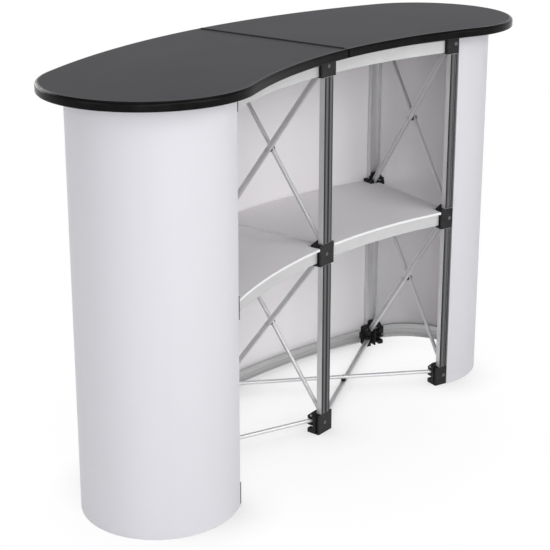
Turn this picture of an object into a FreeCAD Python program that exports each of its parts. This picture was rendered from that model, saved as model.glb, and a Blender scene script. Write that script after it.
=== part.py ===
import FreeCAD, Part
import os
import Sketcher

os.makedirs("parts", exist_ok=True)
doc = FreeCAD.newDocument("exhibition_counter")

# Sizes in millimetres and degrees. The plan is a band bent about one arc centre: the rear posts
# stand on its inner side, the front posts on its outer side, and half rounds close its ends.
size = {
    "counter_height": 945,
    "top_thick": 20,
    "top_half_width": 225,
    "top_angle": 21.1,
    "band_thick": 8,
    "band_round_high": 7,
    "band_round_low": 3,
    "band_fit": 0.1,
    "seam_half": 2.6,
    "arc_radius": 1400,
    "post_angle": 20,
    "post_half_gap": 150,
    "panel_half_width": 175,
    "panel_angle": 20.65,
    "panel_thick": 2.2,
    "panel_foot": 1,
    "panel_head": 2,
    "panel_left_lap": 11,
    "panel_right_miss": 7,
    "shelf_rise": 45,
    "shelf_thick": 6,
    "shelf_rear_reach": 21,
    "shelf_front_reach": 20,
    "shelf_gap": 3,
    "notch_side": 1,
    "notch_back": 3,
    "hub_width": 54,
    "hub_outer": 22,
    "hub_corner": 2,
    "hub_inner": 12,
    "groove_face": 4.4,
    "groove_wide": 6,
    "groove_deep": 6,
    "groove_foot": 4,
    "lug_width": 38,
    "lug_rise": 10,
    "lug_fall": 6,
    "lug_head": 3,
    "slot_width": 12,
    "slot_offset": 8,
    "slot_back": 7.2,
    "pin_inset": 1,
    "pin_radius": 2.5,
    "pin_play": 0.3,
    "pin_show": 1,
    "low_hub_height": 50,
    "low_pin": 46,
    "mid_hub_base": 430,
    "mid_hub_height": 52,
    "mid_low_pin": 8,
    "mid_high_pin": 47,
    "top_hub_height": 48,
    "top_pin": 8,
    "stud_radius": 7,
    "stud_height": 9,
    "stud_play": 1.5,
    "stud_foot": 6,
    "floor_tab_base": 20,
    "floor_tab_thick": 5,
    "floor_pin_side": 22,
    "floor_pin_in": 5,
    "floor_slot_back": 3.5,
    "floor_play": 0.4,
    "post_width": 32,
    "post_depth": 14,
    "post_wall": 2,
    "post_plug": 14,
    "post_play": 0.6,
    "tape_thick": 1.5,
    "tape_proud": 0.4,
    "tape_wide": 14,
    "tape_split": 1,
    "tape_end": 1,
    "broad_thick": 8,
    "broad_wide": 12,
    "broad_wall": 1.4,
    "broad_groove": 0.6,
    "tube_radius": 5,
    "tube_wall": 1.2,
    "bar_overrun": 5,
    "bar_height": 30,
    "bar_thick": 7,
    "bar_wall": 1.5,
    "bar_line": 10,
    "bar_setback": 29,
    "top_bar_rise": 3,
    "low_bar_setback": 42,
    "low_bar_base": 14,
    "hoop_offset": 20,
    "plug_thick": 2.2,
    "plug_height": 18,
    "plug_insert": 7,
    "hoop_insert": 4,
    "screw_head": 4.8,
    "screw_bore": 5.3,
    "screw_sink": 3,
    "screw_head_high": 2.4,
    "screw_shank": 2.4,
    "screw_long": 12,
    "screw_slot": 1.2,
    "screw_slot_deep": 1,
    "hinge_radius": 2.3,
    "hinge_bore": 1.3,
    "hinge_pin_radius": 0.9,
    "hinge_rise": 0.3,
    "leaf_thick": 1.2,
    "leaf_drop": 17,
    "leaf_end": 14,
    "knuckle_gap": 0.8,
    "spacer_radius": 6.5,
    "spacer_play": 0.1,
    "rivet_head": 1.5,
}
sheet = doc.addObject("Spreadsheet::Sheet", "sizes")
for row, name in enumerate(size):
    sheet.set("A" + str(row + 1), str(size[name]))
    sheet.setAlias("A" + str(row + 1), name)
doc.recompute()

# The arc centre lies so far behind the counter that the whole outline is centred on the origin.
centre_y = "(-sizes.arc_radius * (1 + cos(sizes.top_angle)) / 2)"
rear_radius = "(sizes.arc_radius - sizes.post_half_gap)"
front_radius = "(sizes.arc_radius + sizes.post_half_gap)"
top_under = "(sizes.counter_height - sizes.top_thick)"
top_hub_base = "(sizes.counter_height - sizes.top_thick - sizes.top_hub_height)"
mid_hub_top = "(sizes.mid_hub_base + sizes.mid_hub_height)"
mid_low_level = "(sizes.mid_hub_base + sizes.mid_low_pin)"
mid_high_level = "(sizes.mid_hub_base + sizes.mid_high_pin)"
top_pin_level = f"({top_hub_base} + sizes.top_pin)"
hole_radius = "(sizes.pin_radius + sizes.pin_play)"
shelf_under = "(sizes.mid_hub_base + sizes.shelf_rise - sizes.shelf_thick)"
tape_front = "(sizes.hub_outer + sizes.tape_proud)"
tape_back = f"({tape_front} - sizes.tape_thick)"
post_back = f"({tape_back} - sizes.post_depth)"


def move(x, y, z):
    return f"placement(vector({x}; {y}; {z}); rotation(vector(0; 0; 1); 0))"


def spin(angle):
    return f"placement(vector(0; 0; 0); rotation(vector(0; 0; 1); {angle}))"


def tilt(angle):
    return f"placement(vector(0; 0; 0); rotation(vector(1; 0; 0); {angle}))"


along_x = "placement(vector(0; 0; 0); rotation(vector(0; 1; 0); 90))"
along_y = "placement(vector(0; 0; 0); rotation(vector(1; 0; 0); -90))"
arc_frame = move(0, centre_y, 0)
no_move = move(0, 0, 0)


def plane_frame(side):
    return f"{arc_frame} * {spin(f'{-side} * sizes.post_angle')}"


def post_frame(row, side):
    if row == "rear":
        return f"{plane_frame(side)} * {move(0, rear_radius, 0)}"
    return f"{plane_frame(side)} * {move(0, front_radius, 0)} * {spin(180)}"


def box(name, frame, corner, extent):
    item = doc.addObject("Part::Box", name)
    item.setExpression("Length", extent[0])
    item.setExpression("Width", extent[1])
    item.setExpression("Height", extent[2])
    item.setExpression("Placement", f"{frame} * {move(*corner)}")
    return item


def rod(name, frame, radius, length, angle="360"):
    item = doc.addObject("Part::Cylinder", name)
    item.setExpression("Radius", radius)
    item.setExpression("Height", length)
    item.setExpression("Angle", angle)
    item.setExpression("Placement", frame)
    return item


def cut(name, base, tool):
    item = doc.addObject("Part::Cut", name)
    item.Base = base
    item.Tool = tool
    return item


def fuse(name, shapes):
    item = doc.addObject("Part::MultiFuse", name)
    item.Shapes = shapes
    item.Refine = True
    return item


def group(name, members):
    item = doc.addObject("Part::Compound", name)
    item.Links = members
    return item


nodes = []


def node(item, name):
    item.Label = name
    nodes.append(item)
    return item


def number(name):
    return float(size[name])


def sketch_on(body, name, plane, lift=None):
    sketch = body.newObject("Sketcher::SketchObject", name)
    for feature in body.Origin.OriginFeatures:
        if feature.Name.startswith(plane):
            sketch.AttachmentSupport = [(feature, "")]
    sketch.MapMode = "FlatFace"
    if lift:
        sketch.setExpression("AttachmentOffset.Base.z", lift)
    return sketch


def hold(sketch, geo, point, across, up):
    """Fix a point by its distances from the two axes; each is a start value and the size that rules it."""
    for kind, axis, (distance, rule) in (("DistanceX", -2, across), ("DistanceY", -1, up)):
        if distance == 0:
            sketch.addConstraint(Sketcher.Constraint("PointOnObject", geo, point, axis))
            continue
        ends = (geo, point, -1, 1) if distance < 0 else (-1, 1, geo, point)
        at = sketch.addConstraint(Sketcher.Constraint(kind, *ends, abs(distance)))
        sketch.setExpression(f"Constraints[{at}]", rule)


def outline(sketch, corners):
    first = sketch.GeometryCount
    count = len(corners)
    spots = [FreeCAD.Vector(across[0], up[0], 0) for across, up in corners]
    for index in range(count):
        sketch.addGeometry(Part.LineSegment(spots[index], spots[(index + 1) % count]))
    for index in range(count):
        following = first + (index + 1) % count
        sketch.addConstraint(Sketcher.Constraint("Coincident", first + index, 2, following, 1))
    for index, (across, up) in enumerate(corners):
        hold(sketch, first + index, 1, across, up)


def rectangle(sketch, left, right, bottom, top):
    outline(sketch, [(left, bottom), (right, bottom), (right, top), (left, top)])


def circle(sketch, across, up, radius):
    middle = FreeCAD.Vector(across[0], up[0], 0)
    geo = sketch.addGeometry(Part.Circle(middle, FreeCAD.Vector(0, 0, 1), radius[0]))
    at = sketch.addConstraint(Sketcher.Constraint("Radius", geo, radius[0]))
    sketch.setExpression(f"Constraints[{at}]", radius[1])
    hold(sketch, geo, 3, across, up)


def pad(body, sketch, name, length, both_ways=False):
    feature = body.newObject("PartDesign::Pad", name)
    feature.Profile = sketch
    feature.Midplane = both_ways
    feature.setExpression("Length", length)
    sketch.Visibility = False
    body.Tip = feature
    return feature


def through(body, sketch, name):
    feature = body.newObject("PartDesign::Pocket", name)
    feature.Profile = sketch
    feature.Type = "ThroughAll"
    feature.Midplane = True
    body.Tip = feature
    return feature


def sink(body, sketch, name, depth, reverse):
    feature = body.newObject("PartDesign::Pocket", name)
    feature.Profile = sketch
    feature.setExpression("Length", depth)
    feature.Reversed = reverse
    body.Tip = feature
    return feature


# Moulded hub: a block that carries the post ends, grooved down its sides, and behind it a forked
# lug with sloping ends: two slots for the scissor bars, a cross hole for their pins, and in the
# low hub side slots about a tab for the floor bars. A screw is sunk in the face.
def hub(name, height, lug, lug_wide, pins, plug_low, plug_high):
    high = number(height)
    tall = f"sizes.{height}"
    body = doc.addObject("PartDesign::Body", name + "_hub_master")
    half = number("hub_width") / 2
    outer = number("hub_outer")
    inner = number("hub_inner")
    corner = number("hub_corner")
    block = sketch_on(body, name + "_block", "XY_Plane")
    right_side = (half, "sizes.hub_width / 2")
    left_side = (-half, "sizes.hub_width / 2")
    right_face = (half - corner, "sizes.hub_width / 2 - sizes.hub_corner")
    left_face = (corner - half, "sizes.hub_width / 2 - sizes.hub_corner")
    middle = (0, "0")
    shoulder = (corner - outer, "sizes.hub_outer - sizes.hub_corner")
    face = (-outer, "sizes.hub_outer")
    spots = [(left_side, middle), (right_side, middle), (right_side, shoulder)]
    spots += [(right_face, face), (left_face, face), (left_side, shoulder)]
    outline(block, spots)
    pad(body, block, name + "_block_pad", tall)
    side = sketch_on(body, name + "_lug", "YZ_Plane")
    near = outer - number("tape_thick") - number("post_depth") - number("post_play")
    near = (-near, f"{post_back} - sizes.post_play")
    back = (inner, "sizes.hub_inner")
    low_near, low_back, high_near, high_back = lug
    outline(side, [(near, low_near), (back, low_back), (back, high_back), (near, high_near)])
    pad(body, side, name + "_lug_pad", lug_wide, True)
    plug = sketch_on(body, name + "_plug", "XY_Plane", f"-{plug_low}")
    wide = number("post_width") / 2 - number("post_wall") - number("post_play")
    rule = "sizes.post_width / 2 - sizes.post_wall - sizes.post_play"
    skin = outer - number("tape_thick")
    front = number("post_wall") + number("post_play") - skin
    front = (front, f"{tape_back} - sizes.post_wall - sizes.post_play")
    rear = (number("post_depth") - number("post_wall") - skin, f"{post_back} + sizes.post_wall")
    rectangle(plug, (-wide, rule), (wide, rule), front, rear)
    pad(body, plug, name + "_plug_pad", f"{tall} + {plug_low} + {plug_high}")
    groove = sketch_on(body, name + "_groove", "XY_Plane", "sizes.groove_foot")
    floor = (half - number("groove_deep"), "sizes.hub_width / 2 - sizes.groove_deep")
    beyond = (half + 1, "sizes.hub_width / 2 + 1")
    first = (number("groove_face") - outer, "sizes.hub_outer - sizes.groove_face")
    last = first[0] + number("groove_wide")
    last = (last, "sizes.hub_outer - sizes.groove_face - sizes.groove_wide")
    rectangle(groove, floor, beyond, first, last)
    rectangle(groove, (-beyond[0], beyond[1]), (-floor[0], floor[1]), first, last)
    sink(body, groove, name + "_groove_cut", tall, True)
    slots = sketch_on(body, name + "_slots", "XY_Plane")
    offset = number("slot_offset")
    reach = number("slot_width") / 2
    near_wall = (offset - reach, "sizes.slot_offset - sizes.slot_width / 2")
    far_wall = (offset + reach, "sizes.slot_offset + sizes.slot_width / 2")
    start = (-number("slot_back"), "sizes.slot_back")
    end = (inner + 2, "sizes.hub_inner + 2")
    rectangle(slots, near_wall, far_wall, start, end)
    rectangle(slots, (-far_wall[0], far_wall[1]), (-near_wall[0], near_wall[1]), start, end)
    through(body, slots, name + "_slot_cut")
    cross = sketch_on(body, name + "_pins", "YZ_Plane")
    for pin in pins:
        level = (number(pin), f"sizes.{pin}")
        circle(cross, (number("pin_inset"), "sizes.pin_inset"), level, (2.8, hole_radius))
    through(body, cross, name + "_pin_bore")
    centre = (high / 2, f"{tall} / 2")
    head = sketch_on(body, name + "_screw", "XZ_Plane", "sizes.hub_outer")
    circle(head, middle, centre, (number("screw_bore"), "sizes.screw_bore"))
    sink(body, head, name + "_screw_sink", "sizes.screw_sink", False)
    shank = sketch_on(body, name + "_shank", "XZ_Plane", "sizes.hub_outer")
    circle(shank, middle, centre, (2.7, "sizes.screw_shank + sizes.pin_play"))
    sink(body, shank, name + "_shank_bore", "sizes.screw_long + 1", False)
    return body


def floor_forks(body, name):
    """Cut the two side slots for floor bars above and below the tab, and bore the tab for their pins."""
    tab = number("floor_tab_base")
    top = tab + number("floor_tab_thick")
    front = (-number("floor_slot_back"), "sizes.floor_slot_back")
    rear = (number("hub_inner") + 2, "sizes.hub_inner + 2")
    low = "sizes.floor_tab_base - sizes.broad_thick - 3 * sizes.floor_play"
    low = (tab - number("broad_thick") - 1, low)
    high = "sizes.floor_tab_base + sizes.floor_tab_thick + 2 * sizes.tube_radius + 3 * sizes.floor_play"
    high = (top + 2 * number("tube_radius") + 1, high)
    under = (tab, "sizes.floor_tab_base")
    over = (top, "sizes.floor_tab_base + sizes.floor_tab_thick")
    for key, lift, turned in (("a", "-sizes.hub_width / 2", True), ("b", "sizes.hub_width / 2", False)):
        slot = sketch_on(body, f"{name}_floor_slot_{key}", "YZ_Plane", lift)
        rectangle(slot, front, rear, low, under)
        rectangle(slot, front, rear, over, high)
        sink(body, slot, f"{name}_floor_cut_{key}", "sizes.hub_width / 2 - sizes.slot_offset", turned)
    holes = sketch_on(body, name + "_tab_holes", "XY_Plane")
    inset = (number("floor_pin_in"), "sizes.floor_pin_in")
    for way in (-1, 1):
        circle(holes, (way * number("floor_pin_side"), "sizes.floor_pin_side"), inset, (2.8, hole_radius))
    through(body, holes, name + "_tab_bore")


def top_stud(body, name):
    """Close the lug with a plate and stand on it the stud that locates the counter top."""
    foot = sketch_on(body, name + "_stud_foot", "XY_Plane", "sizes.top_hub_height - sizes.stud_foot")
    wide = (number("lug_width") / 2, "sizes.lug_width / 2")
    front = (-number("slot_back") - 1, "sizes.slot_back + 1")
    rectangle(foot, (-wide[0], wide[1]), wide, front, (number("hub_inner"), "sizes.hub_inner"))
    pad(body, foot, name + "_stud_foot_pad", "sizes.stud_foot")
    peg = sketch_on(body, name + "_stud", "XY_Plane", "sizes.top_hub_height")
    circle(peg, (0, "0"), (0, "0"), (number("stud_radius"), "sizes.stud_radius"))
    pad(body, peg, name + "_stud_pad", "sizes.stud_height")


level_end = (0, "0")
rising_end = (number("lug_fall"), "sizes.lug_fall")


def sloped(height):
    peak = (number(height) + number("lug_rise"), f"sizes.{height} + sizes.lug_rise")
    return peak, (number(height) - number("lug_fall"), f"sizes.{height} - sizes.lug_fall")


low_lug = (level_end, level_end, *sloped("low_hub_height"))
low_hub = hub("low", "low_hub_height", low_lug, "sizes.hub_width", ["low_pin"], "0", "sizes.post_plug")
floor_forks(low_hub, "low")
mid_lug = (level_end, rising_end, *sloped("mid_hub_height"))
mid_pins = ["mid_low_pin", "mid_high_pin"]
mid_hub = hub(
    "mid", "mid_hub_height", mid_lug, "sizes.lug_width", mid_pins, "sizes.post_plug", "sizes.post_plug",
)
lug_top = (number("top_hub_height") - number("lug_head"), "sizes.top_hub_height - sizes.lug_head")
top_lug = (level_end, rising_end, lug_top, lug_top)
top_hub = hub("top", "top_hub_height", top_lug, "sizes.lug_width", ["top_pin"], "sizes.post_plug", "0")
stud_hub = hub("stud", "top_hub_height", top_lug, "sizes.lug_width", ["top_pin"], "sizes.post_plug", "0")
top_stud(stud_hub, "stud")


def copy(name, master, frame):
    item = doc.addObject("App::Link", name)
    item.LinkedObject = master
    item.setExpression("Placement", frame)
    return item


# Posts, hubs, tapes and screws on the six post lines.
sides = {"left": -1, "mid": 0, "right": 1}
tapes = []
screws = []
pins = []
for row in ("rear", "front"):
    for side, sign in sides.items():
        line = f"{row}_{side}"
        frame = post_frame(row, sign)
        upper = top_hub if sign == 0 else stud_hub
        trio = [
            copy(line + "_low_copy", low_hub, frame),
            copy(line + "_mid_copy", mid_hub, f"{frame} * {move(0, 0, 'sizes.mid_hub_base')}"),
            copy(line + "_top_copy", upper, f"{frame} * {move(0, 0, top_hub_base)}"),
        ]
        node(group(line + "_hub_group", trio), line + "_hubs")
        spans = {
            "lower": ("sizes.low_hub_height", "(sizes.mid_hub_base - sizes.low_hub_height)"),
            "upper": (mid_hub_top, f"({top_hub_base} - {mid_hub_top})"),
        }
        for part, (start, rise) in spans.items():
            name = f"{line}_post_{part}"
            corner = ("-sizes.post_width / 2", f"-{tape_back}", start)
            outer = box(name + "_outer", frame, corner, ("sizes.post_width", "sizes.post_depth", rise))
            corner = (
                "-sizes.post_width / 2 + sizes.post_wall",
                f"-{tape_back} + sizes.post_wall",
                f"{start} - 1",
            )
            extent = ("sizes.post_width - 2 * sizes.post_wall", "sizes.post_depth", f"{rise} + 2")
            inner = box(name + "_inner", frame, corner, extent)
            node(cut(name + "_channel", outer, inner), name)
            for strip, edge in (("a", "-sizes.tape_split - sizes.tape_wide"), ("b", "sizes.tape_split")):
                corner = (edge, f"-{tape_front}", f"{start} + sizes.tape_end")
                extent = ("sizes.tape_wide", "sizes.tape_thick", f"{rise} - 2 * sizes.tape_end")
                tapes.append(box(f"{name}_tape_{strip}", frame, corner, extent))
        levels = {
            "low": "sizes.low_hub_height / 2",
            "mid": "sizes.mid_hub_base + sizes.mid_hub_height / 2",
            "top": f"{top_hub_base} + sizes.top_hub_height / 2",
        }
        for level, rise in levels.items():
            name = f"{line}_{level}_screw"
            seat = f"{frame} * {move(0, 'sizes.screw_sink - sizes.hub_outer', rise)}"
            head = rod(name + "_head", f"{seat} * {tilt(90)}", "sizes.screw_head", "sizes.screw_head_high")
            long = "sizes.screw_long - sizes.screw_sink - 1"
            shank = rod(name + "_shank", f"{seat} * {tilt(-90)}", "sizes.screw_shank", long)
            corner = ("-sizes.screw_slot / 2", "-sizes.screw_head_high", "-sizes.screw_bore")
            extent = ("sizes.screw_slot", "sizes.screw_slot_deep", "2 * sizes.screw_bore")
            slot = box(name + "_slot", seat, corner, extent)
            screws.append(cut(name + "_slotted", fuse(name, [head, shank]), slot))
        heights = {"a": "sizes.low_pin", "b": mid_low_level, "c": mid_high_level, "d": top_pin_level}
        for key, rise in heights.items():
            wide = "sizes.hub_width" if key == "a" else "sizes.lug_width"
            seat = f"{frame} * {move(f'-{wide} / 2 - sizes.pin_show', 'sizes.pin_inset', rise)} * {along_x}"
            pins.append(rod(f"{line}_pin_{key}", seat, "sizes.pin_radius", f"{wide} + 2 * sizes.pin_show"))
node(group("tape_group", tapes), "magnetic_tapes")
node(group("screw_group", screws), "hub_screws")

# Scissor bars of the three radial planes. The broad bar falls from the rear hub to the front hub
# and the thin tube rises from the rear hub to the front hub beside it; both turn on one rivet.
spacers = []
span = "(2 * sizes.post_half_gap - 2 * sizes.pin_inset)"
bays = {"lower": ("sizes.low_pin", mid_low_level), "upper": (mid_high_level, top_pin_level)}


def broad_bar(name, frame, length):
    start = "-sizes.bar_overrun"
    whole = f"{length} + 2 * sizes.bar_overrun"
    corner = ("-sizes.broad_thick / 2", start, "-sizes.broad_wide / 2")
    body = box(name + "_body", frame, corner, ("sizes.broad_thick", whole, "sizes.broad_wide"))
    inside = "sizes.broad_thick - 2 * sizes.broad_wall"
    depth = "sizes.broad_wide - 2 * sizes.broad_wall"
    corner = ("-sizes.broad_thick / 2 + sizes.broad_wall", f"{start} - 1", f"-({depth}) / 2")
    tools = [box(name + "_hollow", frame, corner, (inside, f"{whole} + 2", depth))]
    for way, edge in (("a", "-sizes.broad_thick / 2"), ("b", "sizes.broad_thick / 2 - sizes.broad_groove")):
        corner = (edge, f"{start} - 1", "-sizes.broad_wide / 6")
        extent = ("sizes.broad_groove", f"{whole} + 2", "sizes.broad_wide / 3")
        tools.append(box(f"{name}_groove_{way}", frame, corner, extent))
    return body, tools


def thin_tube(name, frame, length):
    whole = f"{length} + 2 * sizes.bar_overrun"
    start = f"{frame} * {move(0, '-sizes.bar_overrun', 0)} * {along_y}"
    body = rod(name + "_body", start, "sizes.tube_radius", whole)
    start = f"{frame} * {move(0, '-sizes.bar_overrun - 1', 0)} * {along_y}"
    tools = [rod(name + "_hollow", start, "sizes.tube_radius - sizes.tube_wall", f"{whole} + 2")]
    return body, tools


def crossed(name, frame, length, crossing, kind, axis):
    body, tools = broad_bar(name, frame, length) if kind == "broad" else thin_tube(name, frame, length)
    for key, place in (("a", "0"), ("b", crossing), ("c", length)):
        if axis == "x":
            seat = f"{frame} * {move('-10', place, 0)} * {along_x}"
        else:
            seat = f"{frame} * {move(0, place, '-10')}"
        tools.append(rod(f"{name}_hole_{key}", seat, hole_radius, "20"))
    return node(cut(name + "_drilled", body, fuse(name + "_cuts", tools)), name)


for side, sign in sides.items():
    for bay, (low, high) in bays.items():
        rise = f"({high} - {low})"
        length = f"sqrt(pow({span}; 2) + pow({rise}; 2))"
        lean = f"atan2({rise}; {span})"
        plane = plane_frame(sign)
        rear_pin = f"{rear_radius} + sizes.pin_inset"
        start = f"{plane} * {move('-sizes.slot_offset', rear_pin, high)} * {tilt(f'-{lean}')}"
        crossed(f"{side}_{bay}_broad_bar", start, length, f"{length} / 2", "broad", "x")
        start = f"{plane} * {move('sizes.slot_offset', rear_pin, low)} * {tilt(lean)}"
        crossed(f"{side}_{bay}_thin_tube", start, length, f"{length} / 2", "thin", "x")
        middle = f"{plane} * {move(0, 'sizes.arc_radius', f'({high} + {low}) / 2')}"
        name = f"{side}_{bay}"
        inner = "-sizes.slot_offset + sizes.broad_thick / 2"
        thick = "2 * sizes.slot_offset - sizes.broad_thick / 2 - sizes.tube_radius"
        seat = f"{middle} * {move(f'{inner} + sizes.spacer_play', 0, 0)} * {along_x}"
        ring = rod(name + "_ring", seat, "sizes.spacer_radius", f"{thick} - 2 * sizes.spacer_play")
        seat = f"{middle} * {move('-10', 0, 0)} * {along_x}"
        spacers.append(cut(name + "_spacer", ring, rod(name + "_ring_bore", seat, hole_radius, "20")))
        left_end = "-sizes.slot_offset - sizes.broad_thick / 2 - sizes.rivet_head - sizes.pin_play"
        seat = f"{middle} * {move(left_end, 0, 0)} * {along_x}"
        reach = "2 * sizes.slot_offset + sizes.broad_thick / 2 + sizes.tube_radius"
        ends = "2 * sizes.rivet_head + 2 * sizes.pin_play"
        shank = rod(name + "_shank", seat, "sizes.pin_radius", f"{reach} + {ends}")
        left_head = rod(name + "_head_a", seat, "2 * sizes.pin_radius", "sizes.rivet_head")
        right_end = "sizes.slot_offset + sizes.tube_radius + sizes.pin_play"
        right_seat = f"{middle} * {move(right_end, 0, 0)} * {along_x}"
        right_head = rod(name + "_head_b", right_seat, "2 * sizes.pin_radius", "sizes.rivet_head")
        pins.append(fuse(name + "_rivet", [shank, left_head, right_head]))

# Floor scissor bars of the two bays, pinned to the hub tabs: broad bar below, thin tube above.
half_turn = "(sizes.post_angle / 2)"
rear_x = f"(({rear_radius} + sizes.floor_pin_in) * sin{half_turn} - sizes.floor_pin_side * cos{half_turn})"
front_x = f"(({front_radius} - sizes.floor_pin_in) * sin{half_turn} - sizes.floor_pin_side * cos{half_turn})"
rear_y = f"(({rear_radius} + sizes.floor_pin_in) * cos{half_turn} + sizes.floor_pin_side * sin{half_turn})"
front_y = f"(({front_radius} - sizes.floor_pin_in) * cos{half_turn} + sizes.floor_pin_side * sin{half_turn})"
run_x = f"({rear_x} + {front_x})"
run_y = f"({front_y} - {rear_y})"
floor_length = f"sqrt(pow({run_x}; 2) + pow({run_y}; 2))"
floor_cross = f"({floor_length} * {rear_x} / {run_x})"
floor_lean = f"atan2({run_x}; {run_y})"
broad_level = "(sizes.floor_tab_base - sizes.broad_thick / 2 - sizes.floor_play)"
thin_level = "(sizes.floor_tab_base + sizes.floor_tab_thick + sizes.tube_radius + sizes.floor_play)"
for side, sign in (("left", -1), ("right", 1)):
    bay = f"{arc_frame} * {spin(f'{-sign} * {half_turn}')}"
    start = f"{bay} * {move(f'-{rear_x}', rear_y, broad_level)} * {spin(f'-{floor_lean}')}"
    turned = f"{start} * placement(vector(0; 0; 0); rotation(vector(0; 1; 0); 90))"
    crossed(f"{side}_floor_broad_bar", turned, floor_length, floor_cross, "broad", "x")
    thin_start = f"{bay} * {move(rear_x, rear_y, thin_level)} * {spin(floor_lean)}"
    crossed(f"{side}_floor_thin_tube", thin_start, floor_length, floor_cross, "thin", "z")
    foot = "-sizes.broad_thick / 2 - 1"
    for key, place in (("a", "0"), ("c", floor_length)):
        seat = f"{start} * {move(0, place, foot)}"
        tall = "sizes.broad_thick + sizes.floor_tab_thick + 2"
        pins.append(rod(f"{side}_floor_low_pin_{key}", seat, "sizes.pin_radius", tall))
        seat = f"{thin_start} * {move(0, place, '-sizes.tube_radius - sizes.floor_tab_thick - 1')}"
        tall = "2 * sizes.tube_radius + sizes.floor_tab_thick + 2"
        pins.append(rod(f"{side}_floor_high_pin_{key}", seat, "sizes.pin_radius", tall))
    seat = f"{start} * {move(0, floor_cross, foot)}"
    tall = "sizes.broad_thick + sizes.floor_tab_thick + 2 * sizes.tube_radius + 2.8"
    pins.append(rod(f"{side}_floor_rivet", seat, "sizes.pin_radius", tall))
    seat = f"{start} * {move(0, floor_cross, 'sizes.broad_thick / 2 + sizes.spacer_play')}"
    thick = "sizes.floor_tab_thick + 2 * sizes.floor_play - 2 * sizes.spacer_play"
    ring = rod(f"{side}_floor_ring", seat, "sizes.spacer_radius", thick)
    bore = rod(f"{side}_floor_ring_bore", f"{seat} * {move(0, 0, '-5')}", hole_radius, "20")
    spacers.append(cut(f"{side}_floor_spacer", ring, bore))
node(group("rivet_group", pins), "lattice_rivets")
node(group("spacer_group", spacers), "pivot_spacers")


# Curved flat bars: a hollow strip profile swept round the arc centre, or round an end for a hoop.
def curved_bar(name, frame, radius, start_radius, base, base_level, sweep):
    body = doc.addObject("PartDesign::Body", name + "_body")
    profile = sketch_on(body, name + "_profile", "XZ_Plane")
    thick = number("bar_thick")
    tall = number("bar_height")
    wall = number("bar_wall")
    near = start_radius - thick / 2
    left = (near, f"{radius} - sizes.bar_thick / 2")
    right = (near + thick, f"{radius} + sizes.bar_thick / 2")
    bottom = (base_level, base)
    top = (base_level + tall, f"{base} + sizes.bar_height")
    rectangle(profile, left, right, bottom, top)
    left = (near + wall, f"{radius} - sizes.bar_thick / 2 + sizes.bar_wall")
    right = (near + thick - wall, f"{radius} + sizes.bar_thick / 2 - sizes.bar_wall")
    bottom = (base_level + wall, f"{base} + sizes.bar_wall")
    top = (base_level + tall - wall, f"{base} + sizes.bar_height - sizes.bar_wall")
    rectangle(profile, left, right, bottom, top)
    turn = body.newObject("PartDesign::Revolution", name + "_turn")
    turn.Profile = profile
    turn.ReferenceAxis = (profile, ["V_Axis"])
    turn.setExpression("Angle", sweep)
    body.Tip = turn
    body.setExpression("Placement", frame)
    return node(body, name)


def degrees(length, radius):
    return f"({length} / {radius} * 180 / pi)"


rear_line = f"({rear_radius} - sizes.bar_line)"
front_line = f"({front_radius} + sizes.bar_line)"
rear_start = number("arc_radius") - number("post_half_gap") - number("bar_line")
front_start = number("arc_radius") + number("post_half_gap") + number("bar_line")
shelf_base = f"({shelf_under} - sizes.bar_height)"
top_base = f"({top_hub_base} + sizes.top_bar_rise)"
shelf_level = number("mid_hub_base") + number("shelf_rise") - number("shelf_thick") - number("bar_height")
top_level = number("counter_height") - number("top_thick") - number("top_hub_height")
bars = (
    ("rear_top_bar", rear_line, rear_start, top_base, top_level, "sizes.bar_setback", "rear"),
    ("rear_shelf_bar", rear_line, rear_start, shelf_base, shelf_level, "sizes.bar_setback", "rear"),
    ("front_shelf_bar", front_line, front_start, shelf_base, shelf_level, "sizes.bar_setback", "front"),
    ("front_low_bar", front_line, front_start, "sizes.low_bar_base", number("low_bar_base"),
     "sizes.low_bar_setback", "front"),
)
plugs = []


def plug(name, frame, way, base, setback, insert="sizes.plug_insert"):
    start = "sizes.hub_width / 2" if way > 0 else f"-{setback} - {insert}"
    long = f"{setback} + {insert} - sizes.hub_width / 2"
    level = f"{base} + sizes.bar_height / 2 - sizes.plug_height / 2"
    corner = (start, "-sizes.bar_line - sizes.plug_thick / 2", level)
    plugs.append(box(name, frame, corner, (long, "sizes.plug_thick", "sizes.plug_height")))


for name, radius, first, base, level, setback, row in bars:
    trim = degrees(setback, radius)
    sweep = f"sizes.post_angle - 2 * {trim}"
    right = f"{arc_frame} * {spin(f'90 - sizes.post_angle + {trim}')}"
    left = f"{arc_frame} * {spin(f'90 + {trim}')}"
    curved_bar(name + "_right", right, radius, first, base, level, sweep)
    curved_bar(name + "_left", left, radius, first, base, level, sweep)
    for side, sign in sides.items():
        for way in (-1, 1):
            toward = way if row == "rear" else -way
            if sign * toward < 1:
                label = f"{name}_{side}_plug_{'a' if way < 0 else 'b'}"
                plug(label, post_frame(row, sign), way, base, setback)

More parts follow.
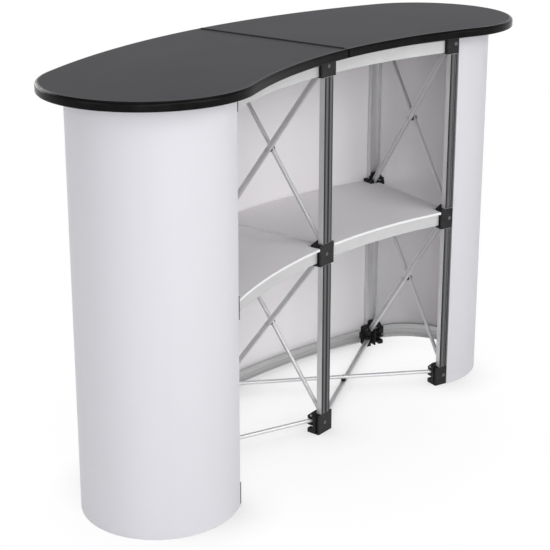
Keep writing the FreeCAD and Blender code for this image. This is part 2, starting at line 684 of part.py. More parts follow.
# Half-round hoops at the floor shape the ends of the wrap panel.
hoop_half = "(sizes.post_half_gap + sizes.bar_line)"
hoop_trim = f"atan((sizes.low_bar_setback - sizes.hoop_offset) / {hoop_half})"
hoop_radius = f"({hoop_half} / cos({hoop_trim}))"
hoop_start = number("post_half_gap") + number("bar_line")
for side, sign in (("left", -1), ("right", 1)):
    middle = f"{plane_frame(sign)} * {move(f'{sign} * sizes.hoop_offset', 'sizes.arc_radius', 0)}"
    first = f"-90 deg + {hoop_trim}" if sign > 0 else f"90 deg + {hoop_trim}"
    frame = f"{middle} * {spin(first)}"
    sweep = f"180 deg - 2 * {hoop_trim}"
    base = "sizes.low_bar_base"
    curved_bar(f"end_hoop_{side}", frame, hoop_radius, hoop_start, base, number("low_bar_base"), sweep)
    for row in ("rear", "front"):
        way = sign if row == "rear" else -sign
        label = f"hoop_{side}_{row}_plug"
        plug(label, post_frame(row, sign), way, base, "sizes.low_bar_setback", "sizes.hoop_insert")
node(group("plug_group", plugs), "bar_end_plugs")


# Shelf boards: sectors of the band with the hubs cut out of their corners.
def sector(name, outer, inner, angle, frame, base, thick):
    whole = rod(name + "_whole", f"{frame} * {move(0, 0, base)}", outer, thick, angle)
    core = rod(name + "_core", f"{frame} * {move(0, 0, f'{base} - 1')}", inner, f"{thick} + 2")
    return cut(name, whole, core)


for side, sign in (("left", -1), ("right", 1)):
    turn = "90 - sizes.post_angle" if sign > 0 else "90"
    frame = f"{arc_frame} * {spin(turn)}"
    outer = f"{front_radius} + sizes.shelf_front_reach"
    inner = f"{rear_radius} - sizes.shelf_rear_reach"
    thick = "sizes.shelf_thick"
    board = sector(f"shelf_{side}_sheet", outer, inner, "sizes.post_angle", frame, shelf_under, thick)
    corner = ("-sizes.shelf_gap", "-sizes.arc_radius", f"{shelf_under} - 5")
    extent = ("2 * sizes.shelf_gap", "2 * sizes.arc_radius", "20")
    tools = [box(f"shelf_{side}_seam", no_move, corner, extent)]
    for row in ("rear", "front"):
        for place in (0, sign):
            side_wall = "-sizes.hub_width / 2 - sizes.notch_side"
            corner = (side_wall, "-2 * sizes.hub_outer", f"{shelf_under} - 5")
            deep = "2 * sizes.hub_outer + sizes.hub_inner + sizes.notch_back"
            extent = ("sizes.hub_width + 2 * sizes.notch_side", deep, "20")
            label = f"shelf_{side}_{row}_{abs(place)}_notch"
            tools.append(box(label, post_frame(row, place), corner, extent))
    node(cut(f"shelf_{side}_board", board, fuse(f"shelf_{side}_notches", tools)), f"shelf_{side}")

# Wrap panel: one thin sheet round the front and both ends. On the rear left post it laps past the
# middle, and on the rear right post it stops short of it.
sheet_base = "sizes.panel_foot"
sheet_tall = f"({top_under} - sizes.panel_head - sizes.panel_foot)"
outer = "sizes.arc_radius + sizes.panel_half_width"
inner = f"{outer} - sizes.panel_thick"
frame = f"{arc_frame} * {spin('90 - sizes.panel_angle')}"
pieces = [sector("panel_front", outer, inner, "2 * sizes.panel_angle", frame, sheet_base, sheet_tall)]
for side, sign in (("left", -1), ("right", 1)):
    plane = f"{arc_frame} * {spin(f'{-sign} * sizes.panel_angle')}"
    turn = "-90" if sign > 0 else "90"
    frame = f"{plane} * {move(0, 'sizes.arc_radius', 0)} * {spin(turn)}"
    outer = "sizes.panel_half_width"
    inner = "sizes.panel_half_width - sizes.panel_thick"
    pieces.append(sector(f"panel_end_{side}", outer, inner, "180", frame, sheet_base, sheet_tall))
    outer = "sizes.arc_radius - sizes.panel_half_width + sizes.panel_thick"
    inner = "(sizes.arc_radius - sizes.panel_half_width)"
    if sign > 0:
        turn = "90 - sizes.panel_angle"
        angle = f"sizes.panel_angle - sizes.post_angle - {degrees('sizes.panel_right_miss', inner)}"
    else:
        lap = degrees("sizes.panel_left_lap", inner)
        turn = f"90 + sizes.post_angle - {lap}"
        angle = f"sizes.panel_angle - sizes.post_angle + {lap}"
    frame = f"{arc_frame} * {spin(turn)}"
    pieces.append(sector(f"panel_edge_{side}", outer, inner, angle, frame, sheet_base, sheet_tall))
node(fuse("panel_sheet", pieces), "wrap_panel")


# Top halves: half of the band with a half-round end, a soft edge band round the curved edge.
def top_half(name, sign, inset, base, thick):
    turn = "90 - sizes.top_angle" if sign > 0 else "90"
    frame = f"{arc_frame} * {spin(turn)}"
    outer = f"sizes.arc_radius + sizes.top_half_width - {inset}"
    inner = f"sizes.arc_radius - sizes.top_half_width + {inset}"
    span = sector(name + "_span", outer, inner, "sizes.top_angle", frame, base, thick)
    turn = "-90" if sign > 0 else "90"
    plane = f"{arc_frame} * {spin(f'{-sign} * sizes.top_angle')}"
    frame = f"{plane} * {move(0, 'sizes.arc_radius', base)} * {spin(turn)}"
    end = rod(name + "_end", frame, f"sizes.top_half_width - {inset}", thick, "180")
    whole = fuse(name + "_whole_half", [span, end])
    corner = ("-sizes.seam_half", "-sizes.arc_radius", f"{base} - 2")
    extent = ("2 * sizes.seam_half", "2 * sizes.arc_radius", f"{thick} + 4")
    return cut(name + "_half", whole, box(name + "_seam", no_move, corner, extent))


for side, sign in (("left", -1), ("right", 1)):
    inset = "(sizes.band_thick + sizes.band_fit)"
    board = top_half(f"top_{side}_board", sign, inset, top_under, "sizes.top_thick")
    holes = []
    for row in ("rear", "front"):
        level = f"{top_under} - 1"
        seat = f"{post_frame(row, sign)} * {move(0, 0, level)}"
        reach = "sizes.stud_height + 3"
        holes.append(rod(f"top_{side}_{row}_socket", seat, "sizes.stud_radius + sizes.stud_play", reach))
    node(cut(f"top_{side}_drilled", board, fuse(f"top_{side}_sockets", holes)), f"top_{side}")
    rim = top_half(f"rim_{side}", sign, "0", top_under, "sizes.top_thick")
    doc.recompute()
    levels = (rim.Shape.BoundBox.ZMin, rim.Shape.BoundBox.ZMax)
    rounded = []
    for index, edge in enumerate(rim.Shape.Edges):
        flat = edge.BoundBox.ZLength < 0.01
        level = any(abs(edge.BoundBox.ZMin - height) < 0.01 for height in levels)
        if flat and level and isinstance(edge.Curve, Part.Circle):
            high = edge.BoundBox.ZMin > sum(levels) / 2
            radius = number("band_round_high" if high else "band_round_low")
            rounded.append((index + 1, radius, radius))
    soft = doc.addObject("Part::Fillet", f"rim_{side}_soft")
    soft.Base = rim
    soft.Edges = rounded
    core = top_half(f"rim_{side}_core", sign, "sizes.band_thick", f"{top_under} - 1", "sizes.top_thick + 2")
    node(cut(f"rim_{side}_band", soft, core), f"edge_band_{side}")

# Continuous hinge in the seam: leaves on the two seam faces, alternating knuckles and a pin.
axis_z = "(sizes.counter_height + sizes.hinge_rise)"
leaf_rear = f"({centre_y} + sizes.arc_radius - sizes.top_half_width + sizes.leaf_end)"
leaf_long = "(2 * sizes.top_half_width - 2 * sizes.leaf_end)"
knuckles = 9
pitch = f"({leaf_long} / {knuckles})"
leaf_high = f"({axis_z} - sizes.hinge_radius - 0.4)"
for side, sign in (("left", -1), ("right", 1)):
    edge = "-sizes.seam_half" if sign < 0 else "sizes.seam_half - sizes.leaf_thick"
    low = "(sizes.counter_height - sizes.leaf_drop)"
    extent = ("sizes.leaf_thick", leaf_long, f"{leaf_high} - {low}")
    shapes = [box(f"leaf_{side}_plate", no_move, (edge, leaf_rear, low), extent)]
    for index in range(knuckles):
        if index % 2 == (0 if sign < 0 else 1):
            start = f"{leaf_rear} + {index} * {pitch} + sizes.knuckle_gap / 2"
            long = f"{pitch} - sizes.knuckle_gap"
            seat = f"{move(0, start, axis_z)} * {along_y}"
            shapes.append(rod(f"leaf_{side}_knuckle_{index}", seat, "sizes.hinge_radius", long))
            corner = (edge, start, f"{leaf_high} - 1")
            extent = ("sizes.leaf_thick", long, "sizes.hinge_radius + 1")
            shapes.append(box(f"leaf_{side}_tab_{index}", no_move, corner, extent))
    seat = f"{move(0, f'{leaf_rear} - 5', axis_z)} * {along_y}"
    bore = rod(f"leaf_{side}_bore", seat, "sizes.hinge_bore", f"{leaf_long} + 10")
    node(cut(f"leaf_{side}_bored", fuse(f"leaf_{side}_blank", shapes), bore), f"hinge_leaf_{side}")
seat = f"{move(0, leaf_rear, axis_z)} * {along_y}"
node(rod("hinge_pin_rod", seat, "sizes.hinge_pin_radius", leaf_long), "hinge_pin")

doc.recompute()
faults = []
for item in doc.Objects:
    if "Invalid" in item.State or "Error" in item.State:
        faults.append(item.Label)
for item in nodes:
    shape = Part.getShape(item)
    if shape.isNull() or not shape.isValid():
        faults.append(item.Label + " shape")
if faults:
    raise RuntimeError("faulty objects: " + ", ".join(faults))
for item in nodes:
    Part.getShape(item).exportStep(os.path.join("parts", item.Label + ".step"))
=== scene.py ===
import math

import bpy
import numpy as np
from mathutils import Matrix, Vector

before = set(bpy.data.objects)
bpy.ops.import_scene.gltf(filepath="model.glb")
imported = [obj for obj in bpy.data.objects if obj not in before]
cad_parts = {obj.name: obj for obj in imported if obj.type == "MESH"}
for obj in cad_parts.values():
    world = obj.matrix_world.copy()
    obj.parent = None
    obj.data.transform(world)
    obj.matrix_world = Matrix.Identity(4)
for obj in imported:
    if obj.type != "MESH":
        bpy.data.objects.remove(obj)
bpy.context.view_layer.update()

scene = bpy.context.scene
scene.view_settings.view_transform = "Standard"


# The room: white walls all round, a soft even light and a dimmer ceiling. The camera sees plain
# white, and so does gloss except overhead.
class Wire:
    """One shader socket. Sums and products of wires and numbers add the nodes that work them out."""

    def __init__(self, tree, socket=None):
        self.tree = tree
        self.socket = socket

    def make(self, kind, settings=None, inputs=None, out=0):
        node = self.tree.nodes.new(kind)
        for key, value in (settings or {}).items():
            if key == "stops":
                for stop, (place, colour) in zip(node.color_ramp.elements, value):
                    stop.position = place
                    stop.color = colour
            else:
                setattr(node, key, value)
        for key, value in (inputs or {}).items():
            if isinstance(value, Wire):
                self.tree.links.new(value.socket, node.inputs[key])
            else:
                node.inputs[key].default_value = value
        return Wire(self.tree, node.outputs[out] if node.outputs else None)

    def maths(self, operation, first, second=0.0, third=0.0):
        return self.make("ShaderNodeMath", {"operation": operation}, {0: first, 1: second, 2: third})

    def __add__(self, other):
        return self.maths("ADD", self, other)

    def __sub__(self, other):
        return self.maths("SUBTRACT", self, other)

    def __mul__(self, other):
        return self.maths("MULTIPLY", self, other)

    def __rsub__(self, other):
        return self.maths("SUBTRACT", other, self)

    __radd__ = __add__
    __rmul__ = __mul__


def bare_tree(owner):
    """Empty the shader tree of a world or a material and give the wire that adds nodes to it."""
    owner.use_nodes = True
    owner.node_tree.nodes.clear()
    return Wire(owner.node_tree)


def ray_kinds(wire):
    kinds = ("Is Camera Ray", "Is Glossy Ray", "Is Transmission Ray")
    return [wire.make("ShaderNodeLightPath", out=kind) for kind in kinds]


def span(wire, value, start, end, first=0.0, last=1.0, easing="LINEAR"):
    """Go from first to last while the value goes from start to end, and hold beyond them."""
    limits = {0: value, 1: start, 2: end, 3: first, 4: last}
    return wire.make("ShaderNodeMapRange", {"interpolation_type": easing}, limits)


sky_white = (0.98, 0.985, 1.0, 1.0)
plain_white = (1.0, 1.0, 1.0, 1.0)
soft_strength = 0.31
ceiling_strength = 0.10
ceiling_start = 0.2
ceiling_full = 0.75
room = bpy.data.worlds.new("studio")
scene.world = room
air = bare_tree(room)
seen, shine, passing = ray_kinds(air)
toward = air.make("ShaderNodeTexCoord", out="Generated")
rise = air.make("ShaderNodeSeparateXYZ", inputs={0: toward}, out="Z")
overhead = span(air, rise, ceiling_start, ceiling_full, easing="SMOOTHSTEP")
walls = air.maths("MAXIMUM", air.maths("MAXIMUM", seen, passing), shine * (1.0 - overhead))
soft_light = air.make("ShaderNodeBackground", inputs={"Color": sky_white, "Strength": soft_strength})
dim_ceiling = air.make("ShaderNodeBackground", inputs={"Color": sky_white, "Strength": ceiling_strength})
white_wall = air.make("ShaderNodeBackground", inputs={"Color": plain_white, "Strength": 1.0})
shade = air.make("ShaderNodeMixShader", inputs={0: shine, 1: soft_light, 2: dim_ceiling})
both = air.make("ShaderNodeMixShader", inputs={0: walls, 1: shade, 2: white_wall})
air.make("ShaderNodeOutputWorld", inputs={"Surface": both})

# The floor: a white sheet that glows to the camera and to gloss, over a matt white that takes the
# lamps' shadow. The shadow shows most under the counter, where a painted contact shadow also darkens
# the glow beside the feet.
floor_half = 12.0
floor_paint = (0.97, 0.97, 0.97, 1.0)
shadow_full = 0.15
shadow_gone = 0.70
glow_share = 0.83
# How far the painted contact shadow reaches, and how dark it is inside and beyond the counter.
contact_reach = 0.11
contact_inner = 0.50
contact_outer = 0.66
painted_shade_inner = 0.42
painted_shade_outer = 0.05
corners = [(x * floor_half, y * floor_half, 0) for x, y in ((-1, -1), (1, -1), (1, 1), (-1, 1))]
sheet = bpy.data.meshes.new("studio_floor")
sheet.from_pydata(corners, [], [(0, 1, 2, 3)])
floor = bpy.data.objects.new("studio_floor", sheet)
scene.collection.objects.link(floor)
floor_white = bpy.data.materials.new("studio_floor_white")
paint = bare_tree(floor_white)
seen, shine, passing = ray_kinds(paint)
direct = paint.maths("MAXIMUM", paint.maths("MAXIMUM", seen, shine), passing)
where = paint.make("ShaderNodeTexCoord", out="Object")
away = paint.make("ShaderNodeVectorMath", {"operation": "LENGTH"}, {0: where}, out="Value")
far = span(paint, away, shadow_full, shadow_gone, easing="SMOOTHSTEP")
matt = paint.make("ShaderNodeBsdfDiffuse", inputs={"Color": floor_paint})
clear = paint.make("ShaderNodeAmbientOcclusion", {"samples": 4}, {"Distance": contact_reach}, out="AO")
# Painted shade: the glow's colour is darkened where the floor is hemmed in beside the feet, mostly inside
# the counter.
painted_contact_shade = span(paint, away, contact_inner, contact_outer, painted_shade_inner, painted_shade_outer)
glow = paint.make("ShaderNodeEmission", inputs={"Color": 1.0 - (1.0 - clear) * painted_contact_shade, "Strength": 1.0})
glowing = direct * (far * (1.0 - glow_share) + glow_share)
lifted = paint.make("ShaderNodeMixShader", inputs={0: glowing, 1: matt, 2: glow})
paint.make("ShaderNodeOutputMaterial", inputs={"Surface": lifted})
sheet.materials.append(floor_white)


# The lamps: large softboxes round the counter and one overhead. Those behind it and beside the
# camera carry most of the light into the bays.
def lamp(name, place, aim, size, watts, colour):
    light = bpy.data.lights.new(name, "AREA")
    light.shape = "RECTANGLE"
    light.size, light.size_y = size
    light.energy = watts
    light.color = colour
    item = bpy.data.objects.new(name, light)
    item.location = place
    item.rotation_euler = (Vector(aim) - Vector(place)).to_track_quat("-Z", "Y").to_euler()
    scene.collection.objects.link(item)


middle = (0.0, 0.0, 0.5)
foot = (0.0, 0.0, 0.0)
warm = (1.0, 0.995, 0.99)
cool = (0.99, 0.99, 1.0)
lamp("key_softbox", (0.6, -3.5, 2.4), middle, size=(2.4, 2.4), watts=49, colour=warm)
lamp("rear_softbox", (-1.2, -3.6, 2.3), middle, size=(2.4, 2.4), watts=41, colour=warm)
lamp("camera_softbox", (-3.2, -2.9, 1.3), middle, size=(2.2, 2.2), watts=49, colour=cool)
lamp("side_softbox", (-4.0, 0.8, 1.8), middle, size=(2.0, 2.4), watts=27, colour=sky_white[:3])
lamp("front_softbox", (0.2, 3.7, 2.0), middle, size=(2.6, 2.4), watts=64, colour=warm)
lamp("ceiling_softbox", (0.0, 0.2, 3.6), foot, size=(3.2, 2.4), watts=26, colour=plain_white[:3])

# The camera: behind the counter and to its left, looking down over the top, as in the picture. Its
# lens is shifted, which keeps the posts closer to upright.
view = bpy.data.cameras.new("camera")
view.sensor_width = 36.0
view.lens = 90.9
view.shift_y = -0.12
camera = bpy.data.objects.new("camera", view)
camera.location = (-2.4771, -1.9464, 1.5035)
turn, dip = 0.8970, -0.2962
aim = Vector((math.sin(turn) * math.cos(dip), math.cos(turn) * math.cos(dip), math.sin(dip)))
camera.rotation_euler = aim.to_track_quat("-Z", "Y").to_euler()
scene.collection.objects.link(camera)
scene.camera = camera


# Hubs: black moulded nylon with a fine spark texture from the mould. Three to a post line; they
# take the scissor bars in forked lugs and the posts on pegs. Spacers and plugs match them.
def finish(name):
    """A new material, the wire that adds its nodes, and the place on the piece."""
    material = bpy.data.materials.new(name)
    ink = bare_tree(material)
    return material, ink, ink.make("ShaderNodeTexCoord", out="Object")


def speckle(ink, where, scale, detail):
    return ink.make("ShaderNodeTexNoise", inputs={"Vector": where, "Scale": scale, "Detail": detail})


def tint(ink, amount, dark, light, margin=0.3):
    """Go from dark to light with the amount, and hold each colour over a margin at its end."""
    stops = [(margin, dark), (1.0 - margin, light)]
    return ink.make("ShaderNodeValToRGB", {"stops": stops}, {"Fac": amount})


def coat(ink, sockets):
    shader = ink.make("ShaderNodeBsdfPrincipled", inputs=sockets)
    ink.make("ShaderNodeOutputMaterial", inputs={"Surface": shader})


def dress(nodes, material):
    for name in nodes:
        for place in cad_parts[name].material_slots:
            place.material = material


nylon_dark = (0.016, 0.016, 0.0165, 1)
nylon_light = (0.026, 0.026, 0.0265, 1)
edge_round = 0.0014
hub_black, ink, where = finish("moulded_black_nylon")
spark = speckle(ink, where, scale=1400.0, detail=2.0)
patch = speckle(ink, where, scale=60.0, detail=3.0)
soft_edge = ink.make("ShaderNodeBevel", {"samples": 4}, {"Radius": edge_round})
tone = tint(ink, patch, nylon_dark, nylon_light)
grain = ink.make(
    "ShaderNodeBump", inputs={"Height": spark, "Strength": 0.25, "Distance": 0.0002, "Normal": soft_edge},
)
coat(ink, {"Base Color": tone, "Roughness": patch * 0.18 + 0.40, "Normal": grain, "IOR": 1.24})
lines = [f"{row}_{side}" for row in ("rear", "front") for side in ("left", "mid", "right")]
dress([line + "_hubs" for line in lines], hub_black)
dress(["bar_end_plugs", "pivot_spacers"], hub_black)


# Posts: extruded aluminium channels, satin anodised, with fine die lines down their length. Each
# is cut in a lower and an upper length and pushed on the pegs of the hubs.
def stretch(ink, where, scale):
    return ink.make("ShaderNodeMapping", inputs={"Vector": where, "Scale": scale})


def emboss(ink, height, strength, depth):
    return ink.make("ShaderNodeBump", inputs={"Height": height, "Strength": strength, "Distance": depth})


post_dull = (0.58, 0.58, 0.59, 1)
post_bright = (0.74, 0.74, 0.75, 1)
die_stretch = 0.012
post_metal, ink, where = finish("post_satin_anodised")
die = speckle(ink, stretch(ink, where, (1.0, 1.0, die_stretch)), scale=900.0, detail=3.0)
cloud = speckle(ink, where, scale=18.0, detail=2.0)
tone = tint(ink, die * 0.75 + cloud * 0.25, post_dull, post_bright)
groove = emboss(ink, die, strength=0.2, depth=0.0003)
coat(ink, {"Base Color": tone, "Metallic": 0.5, "Roughness": die * 0.12 + 0.36, "Normal": groove})
dress([f"{line}_post_{part}" for line in lines for part in ("lower", "upper")], post_metal)

# Magnetic tapes: two dark rubber strips glued on the outer face of each post. Each has a paler rib
# up its middle, so the pattern is laid off across the post, about the centre of the plan's arc.
arc_centre = Vector((0.0, -1.353, 0.0))
post_step = math.radians(20.0)
rib_pitch = 0.0145
tape_dark = (0.016, 0.016, 0.017, 1)
tape_light = (0.120, 0.120, 0.124, 1)
tape_black, ink, where = finish("magnetic_tape_matt")
outward = ink.make("ShaderNodeVectorMath", {"operation": "SUBTRACT"}, {0: where, 1: arc_centre})
across = ink.make("ShaderNodeSeparateXYZ", inputs={0: outward}, out="X")
ahead = ink.make("ShaderNodeSeparateXYZ", inputs={0: outward}, out="Y")
reach = ink.maths("SQRT", across * across + ahead * ahead)
swing = ink.maths("ARCTAN2", across, ahead)
aside = ink.maths("WRAP", swing, post_step / 2, -post_step / 2) * reach
rib = ink.maths("COSINE", aside * (2 * math.pi / rib_pitch)) * -0.5 + 0.5
dust = speckle(ink, where, scale=300.0, detail=4.0)
tone = tint(ink, rib * 0.75 + dust * 0.25, tape_dark, tape_light, margin=0.15)
press = emboss(ink, rib, strength=0.3, depth=0.0005)
coat(ink, {"Base Color": tone, "Roughness": dust * 0.2 + 0.5, "Normal": press, "IOR": 1.3})
dress(["magnetic_tapes"], tape_black)


# Scissor bars: broad aluminium bars with a groove down each face and thin round tubes, drawn to
# length and pinned in the hubs. The die lines run along each bar, and painted shade darkens the groove's
# rims.
def dot(ink, first, second):
    return ink.make("ShaderNodeVectorMath", {"operation": "DOT_PRODUCT"}, {0: first, 1: second}, out="Value")


def blend(ink, share, under, over):
    """The under colour, covered by the over colour as far as share says."""
    return ink.make("ShaderNodeMix", {"data_type": "RGBA"}, {0: share, 6: under, 7: over}, out=2)


bar_tones = {
    "broad_bar": ((0.60, 0.60, 0.61, 1), (0.74, 0.74, 0.75, 1)),
    "thin_tube": ((0.60, 0.60, 0.61, 1), (0.72, 0.72, 0.73, 1)),
}
groove_half = 0.0020
groove_rim = 0.0009
# Painted shade along the groove's rims: how much it covers and its dark colour.
groove_shade_share = 0.75
painted_groove_shade = (0.16, 0.16, 0.165, 1)


def bar_finish(name, kind, pin):
    """Drawn metal for one bar, which runs the way its corners spread most and turns about pin."""
    spots = np.array([v.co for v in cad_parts[name].data.vertices])
    axis = Vector(np.linalg.svd(spots - spots.mean(0), full_matrices=False)[2][0])
    material, ink, where = finish(name + "_anodised")
    shrink = dot(ink, where, axis) * (die_stretch - 1.0)
    run = ink.make("ShaderNodeVectorMath", {"operation": "SCALE"}, {0: axis, "Scale": shrink})
    drawn = ink.make("ShaderNodeVectorMath", {"operation": "ADD"}, {0: where, 1: run})
    die = speckle(ink, drawn, scale=700.0, detail=3.0)
    cloud = speckle(ink, where, scale=22.0, detail=2.0)
    tone = tint(ink, die * 0.7 + cloud * 0.3, *bar_tones[kind])
    if kind == "broad_bar":
        width = axis.cross(pin).normalized()
        reach = spots @ np.array(width)
        aside = dot(ink, where, width) - float(reach.min() + reach.max()) / 2
        # Painted shade: a dark line along each rim of the groove, where shade falls.
        rim = ink.maths("ABSOLUTE", ink.maths("ABSOLUTE", aside) - groove_half)
        tone = blend(ink, span(ink, rim, 0.0, groove_rim, groove_shade_share, 0.0), tone, painted_groove_shade)
    groove = emboss(ink, die, strength=0.2, depth=0.0003)
    coat(ink, {"Base Color": tone, "Metallic": 0.5, "Roughness": die * 0.12 + 0.32, "Normal": groove})
    return material


# The bars on the floor lie in the two bays, so the middle plane has none.
for step, side in enumerate(("left", "mid", "right")):
    swing = (step - 1) * post_step
    sideways = Vector((math.cos(swing), -math.sin(swing), 0))
    for level, pin in (("lower", sideways), ("upper", sideways), ("floor", Vector((0, 0, 1)))):
        for kind in bar_tones:
            name = f"{side}_{level}_{kind}"
            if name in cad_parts:
                dress([name], bar_finish(name, kind, pin))

# Rivets and pins: zinc plated steel, turned and slightly dulled. They hold the bars where they
# cross and where they end in the hubs.
zinc_dull = (0.42, 0.42, 0.44, 1)
zinc_bright = (0.60, 0.60, 0.61, 1)
zinc, ink, where = finish("zinc_plated_steel")
bloom = speckle(ink, where, scale=500.0, detail=3.0)
tone = tint(ink, bloom, zinc_dull, zinc_bright)
coat(ink, {"Base Color": tone, "Metallic": 1.0, "Roughness": bloom * 0.2 + 0.25})
dress(["lattice_rivets"], zinc)

# Hub screws: slotted steel screws with a blackened finish, sunk in the face of each hub. The
# finish is rubbed brighter in patches.
screw_dark = (0.12, 0.12, 0.123, 1)
screw_rubbed = (0.22, 0.22, 0.224, 1)
screw_steel, ink, where = finish("blackened_screw_steel")
rub = speckle(ink, where, scale=700.0, detail=3.0)
tone = tint(ink, rub, screw_dark, screw_rubbed)
coat(ink, {"Base Color": tone, "Metallic": 0.9, "Roughness": rub * 0.2 + 0.35})
dress(["hub_screws"], screw_steel)

# Curved flat bars: satin aluminium strips rolled to the plan's curve. They carry the shelves and
# tie the rear posts at the top; their die lines run round the curve.
strip_dull = (0.52, 0.52, 0.525, 1)
strip_bright = (0.61, 0.61, 0.615, 1)
roll_stretch = (0.02, 0.02, 1.0)
strip_metal, ink, where = finish("rolled_strip_anodised")
die = speckle(ink, stretch(ink, where, roll_stretch), scale=900.0, detail=3.0)
cloud = speckle(ink, where, scale=14.0, detail=2.0)
tone = tint(ink, die * 0.6 + cloud * 0.4, strip_dull, strip_bright)
groove = emboss(ink, die, strength=0.15, depth=0.0002)
coat(ink, {"Base Color": tone, "Metallic": 0.55, "Roughness": die * 0.1 + 0.38, "Normal": groove})
for bar in ("rear_top_bar", "rear_shelf_bar", "front_shelf_bar"):
    dress([bar + "_left", bar + "_right"], strip_metal)

# Floor bars: the same strip left plain and duller, bent to the panel's foot, with a painted shadow
# line along its top and darker towards the floor. The low bars and the end hoops hold the sheet to its
# shape.
foot_dull = (0.40, 0.40, 0.405, 1)
foot_bright = (0.56, 0.56, 0.565, 1)
# One dark colour serves a painted shadow line near the top and the darkening towards the floor.
shadow_line_and_low_dark = (0.12, 0.12, 0.123, 1)
line_height = 0.029
line_half = 0.0011
shadow_line_share = 0.75
darkest_below = 0.014
undarkened_above = 0.030
low_dark_share = 0.45
foot_metal, ink, where = finish("floor_strip_plain")
height = ink.make("ShaderNodeSeparateXYZ", inputs={0: where}, out="Z")
die = speckle(ink, stretch(ink, where, roll_stretch), scale=500.0, detail=3.0)
cloud = speckle(ink, where, scale=14.0, detail=2.0)
bare_tone = tint(ink, die * 0.75 + cloud * 0.25, foot_dull, foot_bright)
# Painted shadow: a dark line near the bar's top, where the panel's foot shades it; lower down, darker
# towards the floor.
off_line = ink.maths("ABSOLUTE", height - line_height)
painted_shadow_line = span(ink, off_line, 0.0, line_half, shadow_line_share, 0.0)
low_darkening = span(ink, height, darkest_below, undarkened_above, low_dark_share, 0.0)
tone = blend(ink, ink.maths("MAXIMUM", painted_shadow_line, low_darkening), bare_tone, shadow_line_and_low_dark)
groove = emboss(ink, die, strength=0.3, depth=0.0004)
coat(ink, {"Base Color": tone, "Metallic": 0.6, "Roughness": die * 0.12 + 0.34, "Normal": groove})
for bar in ("front_low_bar", "end_hoop"):
    dress([bar + "_left", bar + "_right"], foot_metal)

# Shelf boards: thin board faced in white with a fine leather grain, a shade greyer on its taped
# edges. One to a bay, laid on the curved bars between the hubs.
shelf_dark = (0.820, 0.800, 0.830, 1)
shelf_light = (0.870, 0.850, 0.880, 1)
edge_tape = (0.76, 0.76, 0.765, 1)
shelf_white, ink, where = finish("white_faced_board")
facing = ink.make("ShaderNodeTexCoord", out="Normal")
upward = ink.make("ShaderNodeSeparateXYZ", inputs={0: facing}, out="Z")
edge = 1.0 - ink.maths("ABSOLUTE", upward)
pore = speckle(ink, where, scale=420.0, detail=3.0)
cloud = speckle(ink, where, scale=6.0, detail=3.0)
face = tint(ink, cloud * 0.7 + pore * 0.3, shelf_dark, shelf_light, margin=0.25)
tone = blend(ink, edge, face, edge_tape)
leather = emboss(ink, pore, strength=0.12, depth=0.0002)
coat(ink, {"Base Color": tone, "Roughness": cloud * 0.1 + 0.46, "Normal": leather, "IOR": 1.4})
dress(["shelf_left", "shelf_right"], shelf_white)

# Wrap panel: one flexible white plastic sheet, matt, rolled for transport. Its back, which faces the
# middle of the counter, is painted lighter and slightly warmer, as painted light for the shaded inside
# of the counter. It hangs on the tapes round the front and both ends.
outside_dark = (0.585, 0.579, 0.609, 1)
outside_light = (0.615, 0.608, 0.640, 1)
# Painted light: the back of the sheet is coloured lighter and warmer than its front.
back_brightened_dark = (0.845, 0.825, 0.840, 1)
back_brightened_light = (0.885, 0.865, 0.880, 1)
wave_stretch = (1.0, 1.0, 0.06)
panel_white, ink, where = finish("flexible_white_sheet")
facing = ink.make("ShaderNodeTexCoord", out="Normal")
flat = ink.make("ShaderNodeVectorMath", {"operation": "MULTIPLY"}, {0: where, 1: (1.0, 1.0, 0.0)})
back = ink.maths("LESS_THAN", dot(ink, flat, facing), 0.0)
peel = speckle(ink, where, scale=600.0, detail=2.0)
wave = speckle(ink, stretch(ink, where, wave_stretch), scale=9.0, detail=2.0)
fade = wave * 0.7 + peel * 0.3
outside = tint(ink, fade, outside_dark, outside_light, margin=0.25)
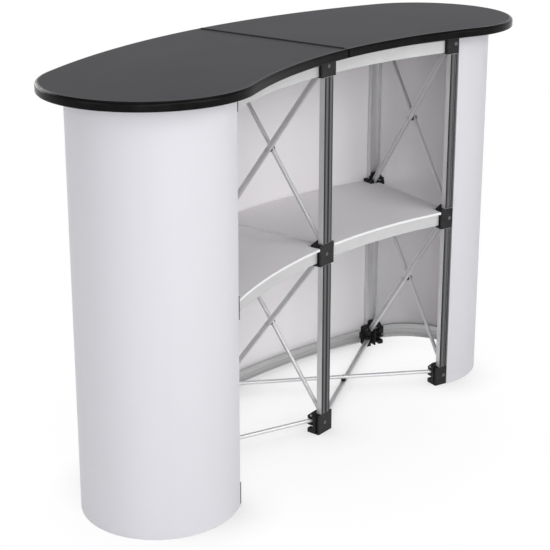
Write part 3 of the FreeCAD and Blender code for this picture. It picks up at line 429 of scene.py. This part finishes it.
# Painted light: the lighter colours go on the back, which faces the shaded middle of the counter.
back_brightened = tint(ink, fade, back_brightened_dark, back_brightened_light, margin=0.25)
tone = blend(ink, back, outside, back_brightened)
orange_peel = emboss(ink, peel, strength=0.06, depth=0.0002)
coat(ink, {"Base Color": tone, "Roughness": wave * 0.1 + 0.5, "Normal": orange_peel, "IOR": 1.4})
dress(["wrap_panel"], panel_white)

# Top: two halves of dark grey laminated board with a fine matt pore, joined by the hinge in the
# seam and set down on the studs of the top hubs.
laminate_dark = (0.034, 0.0333, 0.0385, 1)
laminate_light = (0.050, 0.0490, 0.0560, 1)
top_grey, ink, where = finish("dark_grey_laminate")
pore = speckle(ink, where, scale=900.0, detail=3.0)
cloud = speckle(ink, where, scale=5.0, detail=3.0)
tone = tint(ink, cloud * 0.4 + pore * 0.6, laminate_dark, laminate_light, margin=0.25)
crush = emboss(ink, pore, strength=0.1, depth=0.0002)
coat(ink, {"Base Color": tone, "Roughness": cloud * 0.08 + 0.34, "Normal": crush, "IOR": 1.08})
dress(["top_left", "top_right"], top_grey)

# Edge band: a black plastic profile, rounded and glossy, pressed round the curved edge of each
# half of the top.
band_dark = (0.003, 0.003, 0.003, 1)
band_light = (0.006, 0.006, 0.006, 1)
pull_stretch = (0.05, 0.05, 1.0)
band_black, ink, where = finish("black_edge_profile")
pull = speckle(ink, stretch(ink, where, pull_stretch), scale=900.0, detail=2.0)
cloud = speckle(ink, where, scale=40.0, detail=3.0)
tone = tint(ink, cloud, band_dark, band_light)
coat(ink, {"Base Color": tone, "Roughness": pull * 0.08 + cloud * 0.06 + 0.12, "IOR": 1.15})
dress(["edge_band_left", "edge_band_right"], band_black)

# Hinge: a continuous hinge of steel, painted a darker grey than the laminate. Its leaves are fixed
# to the two faces of the seam, and its knuckles stand just proud of the top.
hinge_dark = (0.020, 0.020, 0.022, 1)
hinge_light = (0.034, 0.034, 0.037, 1)
hinge_grey, ink, where = finish("grey_painted_hinge")
oxide = speckle(ink, where, scale=350.0, detail=3.0)
tone = tint(ink, oxide, hinge_dark, hinge_light)
coat(ink, {"Base Color": tone, "Metallic": 0.2, "Roughness": oxide * 0.2 + 0.4, "IOR": 1.15})
dress(["hinge_leaf_left", "hinge_leaf_right", "hinge_pin"], hinge_grey)
